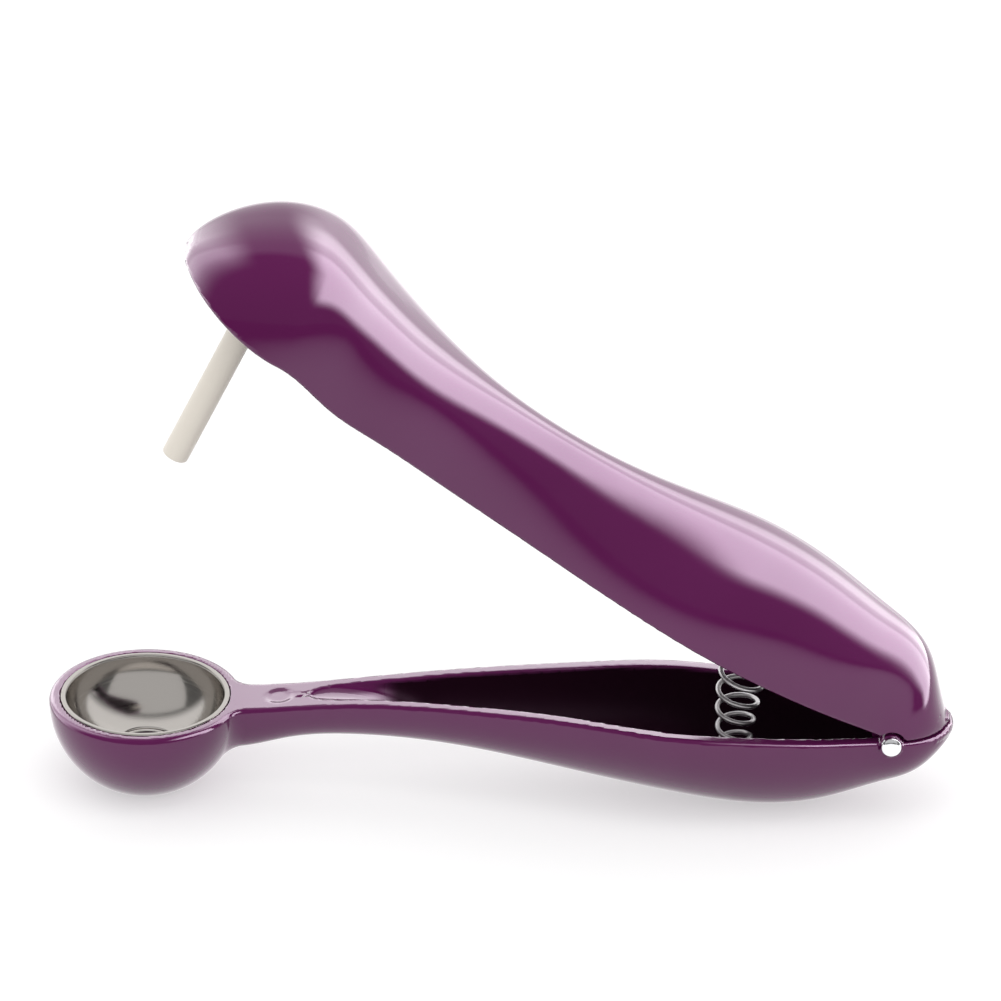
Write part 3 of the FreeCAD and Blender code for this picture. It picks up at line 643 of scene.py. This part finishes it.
class Nodes:
    """Node tree with short ways to add nodes. A source is a socket, a node or a plain value."""

    def __init__(self, tree):
        self.tree = tree

    def feed(self, target, source):
        if isinstance(source, bpy.types.Node):
            source = source.outputs[0]
        if isinstance(source, bpy.types.NodeSocket):
            self.tree.links.new(source, target)
        else:
            target.default_value = source

    def add(self, kind, inputs=(), **settings):
        node = self.tree.nodes.new(kind)
        for key, value in settings.items():
            setattr(node, key, value)
        for target, source in inputs:
            self.feed(node.inputs[target], source)
        return node

    def math(self, operation, *sources):
        return self.add("ShaderNodeMath", enumerate(sources), operation=operation)

    def times(self, first, *others):
        """Product of all the sources."""
        for other in others:
            first = self.math("MULTIPLY", first, other)
        return first

    def vector(self, operation, *sources):
        return self.add("ShaderNodeVectorMath", enumerate(sources), operation=operation)

    def scaled(self, vector, scale):
        return self.add("ShaderNodeVectorMath", [(0, vector), ("Scale", scale)], operation="SCALE")

    def ranged(self, value, start, end, low=0.0, high=1.0, ease="LINEAR"):
        """Number from low to high while the value goes from start to end."""
        return self.add("ShaderNodeMapRange", [
            ("Value", value), ("From Min", start), ("From Max", end), ("To Min", low), ("To Max", high)],
            interpolation_type=ease)

    def eased(self, value, start, end):
        return self.ranged(value, start, end, ease="SMOOTHSTEP")

    def stepped(self, value, steps):
        """Brightness along a direction from -1 to 1, from steps of (direction, brightness)."""
        shades = self.add("ShaderNodeValToRGB", [("Fac", self.ranged(value, -1.0, 1.0))])
        elements = shades.color_ramp.elements
        while len(elements) < len(steps):
            elements.new(0.5)
        for element, (direction, bright) in zip(elements, steps):
            element.position = (direction + 1) / 2
            element.color = (bright, bright, bright, 1.0)
        return shades

    def mixed(self, share, first, second):
        """Number or colour that goes from the first source to the second."""
        kind = "FLOAT" if isinstance(second, float) else "RGBA"
        mix = self.add("ShaderNodeMix", [("Factor", share), ("A", first), ("B", second)], data_type=kind)
        return mix.outputs["Result"]


class Finish(Nodes):
    """One procedural material, laid out in the object's own space."""

    def __init__(self, name, color, **settings):
        self.material = bpy.data.materials.new(name)
        self.material.use_nodes = True
        self.material.diffuse_color = (*color, 1.0)
        super().__init__(self.material.node_tree)
        self.place = self.add("ShaderNodeTexCoord").outputs["Object"]
        self.set(Base_Color=(*color, 1.0), **settings)

    def set(self, **sources):
        sockets = self.tree.nodes["Principled BSDF"].inputs
        for name, source in sources.items():
            self.feed(sockets[name.replace("_", " ")], source)

    def noise(self, scale, detail, place=None):
        return self.add("ShaderNodeTexNoise", [
            ("Vector", place or self.place), ("Scale", scale), ("Detail", detail)])

    def spread(self, noise, low, high):
        """Noise as a number that mostly runs from low to high."""
        return self.ranged(noise, 0.3, 0.7, low, high)

    def bump(self, height, strength, distance=0.0001):
        self.set(Normal=self.add("ShaderNodeBump", [
            ("Strength", strength), ("Distance", distance), ("Height", height)]))


def plastic_finish(name, colors):
    """Polished purple moulding with faint sink marks and haze; inside it, painted shade makes the hollow
    faces nearly black, rough and low in gloss.
    """
    finish = Finish(name, colors.plastic, IOR=1.49, Specular_Tint=(1.0, 0.80, 1.0, 1.0))
    inside = finish.add("ShaderNodeAttribute", attribute_name=INSIDE).outputs["Fac"]
    haze = finish.spread(finish.noise(90.0, 3.0), 0.07, 0.12)
    shine = finish.spread(finish.noise(60.0, 2.0), 0.48, 0.52)
    tone = finish.mixed(finish.spread(finish.noise(35.0, 2.0), 0.0, 1.0),
                        (*colors.plastic_light, 1.0), (*colors.plastic_deep, 1.0))
    # Where the inside share rises, painted shade takes over: near-black colour, more roughness and little
    # gloss, so the hollows look shaded and show no reflections.
    finish.set(Roughness=finish.mixed(inside, haze, 0.45),
               Specular_IOR_Level=finish.mixed(inside, shine, 0.06),
               Base_Color=finish.mixed(inside, tone, (*colors.plastic_inside, 1.0)))
    finish.bump(finish.noise(260.0, 2.0), 0.035, 0.0003)
    return finish.material


def bowl_finish(name, colors):
    """Polished pressed steel with faint rings from the turning of the polishing wheel."""
    finish = Finish(name, colors.bowl, Metallic=1.0)
    flat = finish.vector("MULTIPLY", finish.vector("SUBTRACT", finish.place, cup_centre()), (1.0, 1.0, 0.0))
    from_axis = finish.vector("LENGTH", flat).outputs["Value"]
    rings = finish.add("ShaderNodeTexNoise", [("W", from_axis), ("Scale", 5200.0), ("Detail", 2.0)],
                       noise_dimensions="1D")
    finish.set(Roughness=finish.spread(rings, 0.12, 0.20))
    finish.bump(rings, 0.05)
    return finish.material


def punch_finish(name, colors):
    """Off-white satin rod with a fine grain along it."""
    finish = Finish(name, colors.punch, IOR=1.5)
    along_rod = finish.add("ShaderNodeMapping", [("Vector", finish.place), ("Scale", (1.0, 1.0, 0.12))])
    grain = finish.noise(1500.0, 3.0, along_rod)
    finish.set(Roughness=finish.spread(grain, 0.36, 0.50))
    finish.bump(grain, 0.10)
    return finish.material


def rivet_finish(name, colors):
    """Bright rivet with a faint pitting from its setting."""
    finish = Finish(name, colors.rivet, Metallic=1.0)
    pits = finish.noise(2500.0, 2.0)
    finish.set(Roughness=finish.spread(pits, 0.10, 0.24))
    finish.bump(pits, 0.08)
    return finish.material


def spring_finish(name, colors):
    """Bright wire with drawing marks and slight variation."""
    finish = Finish(name, colors.spring, Metallic=1.0)
    marks = finish.noise(1800.0, 2.0)
    finish.set(Roughness=finish.spread(marks, 0.30, 0.42))
    finish.bump(marks, 0.02)
    return finish.material


FINISHES = {
    "moulded_plastic": plastic_finish,
    "bowl_steel": bowl_finish,
    "punch_plastic": punch_finish,
    "pin_steel": rivet_finish,
    "spring_steel": spring_finish,
}


def finish_for(slot):
    name = FINISH_NAME + slot
    colors = bpy.context.scene.pitter_colors
    return bpy.data.materials.get(name) or FINISHES[slot](name, colors)


# ---------------------------------------------------------------- operators
class PITTER_OT_lower_arm(Operator):
    """Builds the lower moulding: trough, grooved neck, cup, bosses and heel lip"""
    bl_idname = "pitter.lower_arm"
    bl_label = "Lower Arm"

    def execute(self, context):
        arms = in_mm(context.scene.pitter_arms)
        pin, _ = hinge()
        hinge_to_cup = (pin.x - cup_centre().x) / MM
        low = (-arms.heel, -arms.cup_radius, -PARTING_HEIGHT)
        high = (hinge_to_cup + arms.cup_radius, arms.cup_radius, LOWER_TOP)
        piece = moulding("lower_moulding", lower_field(arms, hinge_to_cup), low, high, arms.step, 0.0)
        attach(piece, "lower_arm")
        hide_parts("lower_handle")
        return {"FINISHED"}


class PITTER_OT_upper_arm(Operator):
    """Builds the upper moulding: shell, hood, ears, punch socket and spring seat"""
    bl_idname = "pitter.upper_arm"
    bl_label = "Upper Arm"

    def execute(self, context):
        arms = in_mm(context.scene.pitter_arms)
        punch_radius = context.scene.pitter_metal.punch_radius / MM
        _, travel = hinge()
        widest = UPPER_HALF_WIDTH[-1][1]
        low = (-arms.tail, -widest, -arms.ear - PIN_DROP)
        high = (arms.nose, widest, UPPER_CROWN[-1][1])
        fields = upper_field(arms, punch_radius, travel)
        piece = moulding("upper_moulding", fields, low, high, arms.step, OPEN_ANGLE)
        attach(piece, "upper_arm")
        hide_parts("upper_handle")
        return {"FINISHED"}


class PITTER_OT_metal(Operator):
    """Builds the steel bowl, the punch and the two ends of the rivet"""
    bl_idname = "pitter.metal"
    bl_label = "Metal Pieces"

    def bowl(self, metal):
        radius = metal.bowl_radius
        depth = metal.bowl_depth
        lip = metal.bowl_lip
        outer_radius = radius + metal.bowl_wall
        outer_depth = depth + metal.bowl_wall
        flange = outer_radius + metal.bowl_flange
        under = lip - metal.bowl_wall
        edge = 0.35 * MM
        below_lip = 0.1 * MM
        below_flange = 0.06
        inner_rings = 40
        outer_rings = 24
        edge_rings = 9
        inner_turn = math.acos(metal.bowl_hole / radius)
        outer_turn = math.acos(metal.bowl_hole / outer_radius)
        profile = [(metal.bowl_hole, -outer_depth * math.sin(outer_turn))]
        for angle in np.linspace(inner_turn, 0.0, inner_rings):
            profile.append((radius * math.cos(angle), -depth * math.sin(angle) - below_lip))
        profile += arc((radius + edge, lip - edge), edge, 180, 90, edge_rings)
        profile += arc((flange - edge, lip - edge), edge, 90, 0, edge_rings)
        profile += [(flange, under), (outer_radius, under)]
        for angle in np.linspace(below_flange, outer_turn, outer_rings)[:-1]:
            profile.append((outer_radius * math.cos(angle), -outer_depth * math.sin(angle)))
        place = Matrix.Translation(cup_centre())
        piece = turned_piece("steel_bowl", profile[::-1], place, finish_for("bowl_steel"), metal.segments)
        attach(piece, "lower_arm")
        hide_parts("cup_liner")

    def punch(self, metal):
        low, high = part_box("punch")
        lean = OPEN_ANGLE - PUNCH_LEAN
        axis = Vector((math.sin(lean), 0.0, math.cos(lean)))
        radius = metal.punch_radius
        edge = metal.punch_edge
        tip = Vector((low.x + radius * math.cos(lean), 0.0, low.z + radius * math.sin(lean)))
        reach = (high.z - low.z - 2 * radius * math.sin(lean)) / math.cos(lean)
        rings = 12
        edge_rings = 7
        profile = [(0.0, 0.0)] + arc((radius - edge, edge), edge, -90, 0, edge_rings)
        profile += [(radius, reach * k / rings) for k in range(1, rings)]
        profile += [(radius, reach), (0.0, reach)]
        place = Matrix.Translation(tip) @ axis.to_track_quat("Z", "Y").to_matrix().to_4x4()
        piece = turned_piece("punch_rod", profile, place, finish_for("punch_plastic"), metal.segments // 2)
        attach(piece, "upper_arm")
        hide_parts("punch")

    def rivet(self, metal):
        pin, _ = hinge()
        half = PIN_HALF_WIDTH * MM
        height = metal.head_height
        shank = metal.pin_radius
        root = height / 2
        end = 2 * half + root
        domed = 0.7
        dome_rings = 14
        dome = [(metal.head_radius * math.cos(a)**domed, height * math.sin(a)**domed)
                for a in np.linspace(0, math.pi / 2, dome_rings)[:-1]] + [(0.0, height)]

        def rivet_end(name, side, start):
            place = Matrix.Translation(pin + Vector((0.0, side * half, 0.0)))
            place = place @ Matrix.Rotation(-side * math.pi / 2, 4, "X")
            return turned_piece(name, start + dome, place, finish_for("pin_steel"), metal.segments // 2)

        rivet = rivet_end("rivet", -1, [(0.0, -end), (shank, -end), (shank, 0.0)])
        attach(rivet, "lower_arm")
        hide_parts("hinge_pin")
        cap = rivet_end("rivet_cap", 1, [(0.0, root), (shank, root), (shank, 0.0)])
        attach(cap, "lower_arm")
        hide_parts("pin_cap")

    def execute(self, context):
        metal = context.scene.pitter_metal
        self.bowl(metal)
        self.punch(metal)
        self.rivet(metal)
        return {"FINISHED"}


class PITTER_OT_spring(Operator):
    """Winds the return spring along its bent axis"""
    bl_idname = "pitter.spring"
    bl_label = "Return Spring"

    def winding(self, inputs):
        """Node tree: a wire wound about a Bezier path, on a cone below and straight above.

        The inputs are (name, kind of socket, value), and their values come back by identifier."""
        path_steps = 64
        cone = (0.05, 0.50)
        nodes = Nodes(bpy.data.node_groups.new("wound_wire", "GeometryNodeTree"))
        interface = nodes.tree.interface
        values = {}
        for name, kind, value in inputs:
            socket = interface.new_socket(name, in_out="INPUT", socket_type="NodeSocket" + kind)
            values[socket.identifier] = value
        interface.new_socket("Geometry", in_out="OUTPUT", socket_type="NodeSocketGeometry")
        given = nodes.add("NodeGroupInput").outputs
        path = nodes.add("GeometryNodeCurvePrimitiveBezierSegment", [("Resolution", path_steps)] + [
            (name, given[name]) for name in ("Start", "Start Handle", "End Handle", "End")])
        even = nodes.add("GeometryNodeResampleCurve", [("Curve", path), ("Count", given["Points"])])
        share = nodes.add("GeometryNodeSplineParameter").outputs["Factor"]
        phase = nodes.times(share, given["Turns"], 2 * math.pi)
        radius = nodes.ranged(share, *cone, given["Foot Radius"], given["Body Radius"], "SMOOTHSTEP")
        tangent = nodes.add("GeometryNodeInputTangent")
        side = nodes.vector("CROSS_PRODUCT", tangent, (0.0, 1.0, 0.0))
        depth = nodes.add("ShaderNodeCombineXYZ", [("Y", nodes.math("SINE", phase))])
        around = nodes.vector("ADD", nodes.scaled(side, nodes.math("COSINE", phase)), depth)
        wound = nodes.add("GeometryNodeSetPosition", [
            ("Geometry", even), ("Offset", nodes.scaled(around, radius))])
        ring = nodes.add("GeometryNodeCurvePrimitiveCircle", [
            ("Radius", given["Wire Radius"]), ("Resolution", given["Sides"])], mode="RADIUS")
        wire = nodes.add("GeometryNodeCurveToMesh", [
            ("Curve", wound), ("Profile Curve", ring), ("Fill Caps", True)])
        smooth = nodes.add("GeometryNodeSetShadeSmooth", [("Geometry", wire)])
        real = nodes.add("GeometryNodeRealizeInstances", [("Geometry", smooth)])
        coated = nodes.add("GeometryNodeSetMaterial", [("Geometry", real), ("Material", given["Material"])])
        nodes.add("NodeGroupOutput", [("Geometry", coated)])
        return nodes.tree, values

    def execute(self, context):
        spring = context.scene.pitter_spring
        pin, _ = hinge()
        up = Vector((0.0, 0.0, 1.0))
        lean = Vector((math.sin(OPEN_ANGLE), 0.0, math.cos(OPEN_ANGLE)))
        back = Vector((-math.cos(OPEN_ANGLE), 0.0, math.sin(OPEN_ANGLE)))
        station, height = LOWER_SEAT
        foot = Vector((pin.x - station * MM, 0.0, cup_centre().z + height * MM))
        station, height = UPPER_SEAT
        head = pin + back * station * MM + lean * (height + PIN_DROP) * MM
        seat_gap = 0.2 * MM
        clear = spring.wire_radius + seat_gap
        start = foot + up * clear
        end = head - lean * clear
        tree, values = self.winding([
            ("Start", "Vector", start),
            ("Start Handle", "Vector", start + up * spring.lower_reach),
            ("End Handle", "Vector", end - lean * spring.upper_reach),
            ("End", "Vector", end),
            ("Foot Radius", "Float", spring.foot_radius),
            ("Body Radius", "Float", spring.body_radius),
            ("Wire Radius", "Float", spring.wire_radius),
            ("Turns", "Float", spring.turns),
            ("Points", "Int", int(spring.turns * spring.points_per_turn)),
            ("Sides", "Int", spring.sides),
            ("Material", "Material", finish_for("spring_steel"))])
        seed = put("coil_spring_seed", bpy.data.meshes.new("coil_spring_seed"))
        modifier = seed.modifiers.new("wound_wire", "NODES")
        modifier.node_group = tree
        for identifier, value in values.items():
            modifier[identifier] = value
        context.view_layer.update()
        wound = bpy.data.meshes.new_from_object(seed.evaluated_get(context.evaluated_depsgraph_get()))
        if not wound.vertices:
            raise RuntimeError("the spring has not been wound")
        bpy.data.objects.remove(seed)
        wound.name = "coil_spring"
        piece = put("coil_spring", wound)
        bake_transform(piece)
        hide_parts("return_spring")
        return {"FINISHED"}


class PITTER_OT_stage(Operator):
    """Sets the camera, the white ground and the lamps"""
    bl_idname = "pitter.stage"
    bl_label = "Stage"

    def camera(self, scene, stage):
        data = bpy.data.cameras.new("camera")
        data.sensor_width = 36.0
        data.lens = stage.lens
        camera = put("camera", data)
        eye = Vector(stage.eye)
        look = (Vector(stage.target) - eye).normalized()
        right = look.cross(Vector((0.0, 0.0, 1.0))).normalized()
        up = right.cross(look)
        rolled = math.cos(stage.roll) * right + math.sin(stage.roll) * up
        upright = math.cos(stage.roll) * up - math.sin(stage.roll) * right
        turn = Matrix((rolled, upright, -look)).transposed().to_4x4()
        camera.matrix_world = Matrix.Translation(eye) @ turn
        scene.camera = camera

    def world(self, scene, stage):
        """Even sky for the light, white for the camera, and a white room, dark behind the camera."""
        world = bpy.data.worlds.new("white_room")
        world.use_nodes = True
        nodes = Nodes(world.node_tree)
        place = nodes.add("ShaderNodeTexCoord").outputs["Generated"]
        along_y = nodes.add("ShaderNodeSeparateXYZ", [("Vector", place)]).outputs["Y"]
        walls = nodes.stepped(along_y, [(0.05, 0.12), (0.25, 0.9), (0.50, 0.9), (0.62, 1.0)])
        path = nodes.add("ShaderNodeLightPath").outputs
        straight = nodes.math("ADD", path["Is Camera Ray"], path["Is Transmission Ray"])

        def light(strength):
            return nodes.add("ShaderNodeBackground", [("Color", WHITE), ("Strength", strength)])

        def mixed(share, first, second):
            return nodes.add("ShaderNodeMixShader", [("Fac", share), (1, first), (2, second)])

        room = light(nodes.times(walls, stage.room))
        glossy = mixed(path["Is Glossy Ray"], light(stage.sky), room)
        seen = mixed(straight, glossy, light(1.0))
        nodes.feed(nodes.tree.nodes["World Output"].inputs["Surface"], seen)
        world.cycles.sampling_method = "NONE"
        scene.world = world

    def floor(self, stage):
        """White ground that keeps the shadow. Part of its white is seen by the camera and in gloss,
        and in gloss it darkens away to the front."""
        gloss_glow = 1.8
        dark_to_light = (-0.55, -0.10)
        far = 4.0
        drop = 0.05 * MM
        finish = Finish("white_ground", WHITE[:3], Roughness=0.9, Specular_IOR_Level=0.0,
                        Emission_Color=WHITE)
        path = finish.add("ShaderNodeLightPath").outputs
        along_y = finish.add("ShaderNodeSeparateXYZ", [(0, finish.place)]).outputs["Y"]
        glossy = path["Is Glossy Ray"]
        dark = finish.math("SUBTRACT", 1.0, finish.eased(along_y, *dark_to_light))
        far_in_gloss = finish.times(glossy, dark)
        shine = finish.times(gloss_glow, finish.math("SUBTRACT", glossy, far_in_gloss))
        glow = finish.math("ADD", path["Is Camera Ray"], shine)
        finish.set(
            Base_Color=finish.times(stage.ground, finish.math("SUBTRACT", 1.0, far_in_gloss)),
            Emission_Strength=finish.times(stage.ground_glow, glow))
        mesh = bpy.data.meshes.new("ground")
        corners = [(-far, -far, 0), (far, -far, 0), (far, far, 0), (-far, far, 0)]
        mesh.from_pydata(corners, [], [(0, 1, 2, 3)])
        mesh.materials.append(finish.material)
        ground = put("ground", mesh)
        ground.location.z = -drop

    def lamp(self, name, place, aim, size, power):
        data = bpy.data.lights.new(name, "AREA")
        data.shape = "RECTANGLE"
        data.size, data.size_y = size
        data.energy = power
        lamp = put(name, data)
        lamp.location = place
        lamp.rotation_mode = "QUATERNION"
        lamp.rotation_quaternion = (Vector(aim) - Vector(place)).to_track_quat("-Z", "Y")
        return lamp

    def only_in_gloss(self, light, *pieces):
        """Light that shines in the gloss of some pieces and adds nothing to their colour."""
        light.visible_camera = False
        light.visible_diffuse = False
        light.visible_transmission = False
        light.visible_shadow = False
        receivers = bpy.data.collections.new(light.name + "_receivers")
        for piece in pieces:
            receivers.objects.link(bpy.data.objects[piece])
        light.light_linking.receiver_collection = receivers

    def tent(self, stage):
        """Sphere round the tool whose bright parts shine in the mouldings.

        Directions are those of a unit vector from the tool. Right of the middle it is bright from
        well in front over the top to the back, left of it only at the back; in front it is dark."""
        material = bpy.data.materials.new("tent")
        material.use_nodes = True
        nodes = Nodes(material.node_tree)
        nodes.tree.nodes.clear()
        centre = (0.05, 0.0, 0.04)
        radius = 0.35
        bow = 0.5
        tilt = 0.41
        tilt_start = -0.15
        right_start = (0.02, 0.40)
        right_front = (-0.90, -0.72)
        left_start = (-0.48, -0.72)
        left_front = (-0.30, 0.20)
        left_share = 0.38
        way = nodes.vector("NORMALIZE", nodes.add("ShaderNodeTexCoord").outputs["Object"])
        x, y, _ = nodes.add("ShaderNodeSeparateXYZ", [(0, way)]).outputs
        front = nodes.math("SUBTRACT", y, nodes.times(x, x, bow))
        slant = nodes.math("ADD", x, nodes.times(tilt, nodes.math("MAXIMUM", y, tilt_start)))
        right = nodes.times(nodes.eased(slant, *right_start), nodes.eased(front, *right_front))
        left = nodes.times(nodes.eased(x, *left_start), nodes.eased(y, *left_front))
        sides = nodes.math("ADD", right, nodes.times(left, left_share))
        over = nodes.stepped(y, [(0.30, 1.0), (0.38, 0.62), (0.54, 0.62), (0.62, 0.75), (0.76, 0.50),
                                 (0.84, 0.15), (1.0, 0.05)])
        glow = nodes.add("ShaderNodeEmission", [("Strength", nodes.times(sides, over, stage.tent))])
        lit = nodes.add("ShaderNodeAddShader", [(0, glow), (1, nodes.add("ShaderNodeBsdfTransparent"))])
        nodes.add("ShaderNodeOutputMaterial", [("Surface", lit)])
        material.cycles.emission_sampling = "NONE"

        mesh = bpy.data.meshes.new("tent")
        form = bmesh.new()
        bmesh.ops.create_icosphere(form, subdivisions=4, radius=radius)
        form.to_mesh(mesh)
        form.free()
        mesh.materials.append(material)
        tent = put("tent", mesh)
        tent.location = centre
        self.only_in_gloss(tent, "lower_moulding", "upper_moulding")

    def panel(self, name, place, aim, size, brightness):
        """Lamp whose power comes from its size and the brightness of its face."""
        return self.lamp(name, place, aim, size, brightness * math.pi * size[0] * size[1])

    def execute(self, context):
        scene = context.scene
        stage = scene.pitter_stage
        scene.view_settings.view_transform = "Standard"
        self.camera(scene, stage)
        self.world(scene, stage)
        self.floor(stage)
        key = self.lamp("key", (0.05, -0.15, 0.9), (0.0, 0.0, 0.05), (0.6, 0.4), stage.key)
        key.visible_glossy = False
        self.tent(stage)
        back = self.panel("back", (0.0, 1.3, 0.75), (0.0, 0.0, 0.75), (2.4, 0.9), stage.back)
        self.only_in_gloss(back, "lower_moulding")
        front = self.panel("front", (0.0, -0.8, 1.0), (0.0, 0.0, 0.02), (3.4, 2.2), stage.front)
        self.only_in_gloss(front, "steel_bowl", "rivet", "rivet_cap", "coil_spring")
        return {"FINISHED"}


class PITTER_PT_panel(Panel):
    """Sidebar panel with the operators and their settings"""
    bl_idname = "PITTER_PT_panel"
    bl_label = "Olive Pitter"
    bl_space_type = "VIEW_3D"
    bl_region_type = "UI"
    bl_category = "Pitter"

    def draw(self, context):
        for operator in OPERATORS:
            self.layout.operator(operator.bl_idname)
        for setting in GROUPS:
            box = self.layout.box()
            group = getattr(context.scene, setting)
            for name in group.bl_rna.properties.keys():
                if name not in ("rna_type", "name"):
                    box.prop(group, name)


GROUPS = {
    "pitter_arms": PitterArms,
    "pitter_metal": PitterMetal,
    "pitter_spring": PitterSpring,
    "pitter_colors": PitterColors,
    "pitter_stage": PitterStage,
}
OPERATORS = (PITTER_OT_lower_arm, PITTER_OT_upper_arm, PITTER_OT_metal, PITTER_OT_spring, PITTER_OT_stage)
CLASSES = OPERATORS + (PITTER_PT_panel,)


def register():
    for name, group in GROUPS.items():
        bpy.utils.register_class(group)
        setattr(bpy.types.Scene, name, PointerProperty(type=group))
    for item in CLASSES:
        bpy.utils.register_class(item)


def unregister():
    for item in reversed(CLASSES):
        bpy.utils.unregister_class(item)
    for name, group in GROUPS.items():
        delattr(bpy.types.Scene, name)
        bpy.utils.unregister_class(group)


def main():
    register()
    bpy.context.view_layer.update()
    for build in (bpy.ops.pitter.lower_arm, bpy.ops.pitter.upper_arm, bpy.ops.pitter.metal,
                  bpy.ops.pitter.spring, bpy.ops.pitter.stage):
        if build() != {"FINISHED"}:
            raise RuntimeError("an operator has not finished")


if __name__ == "__main__":
    main()
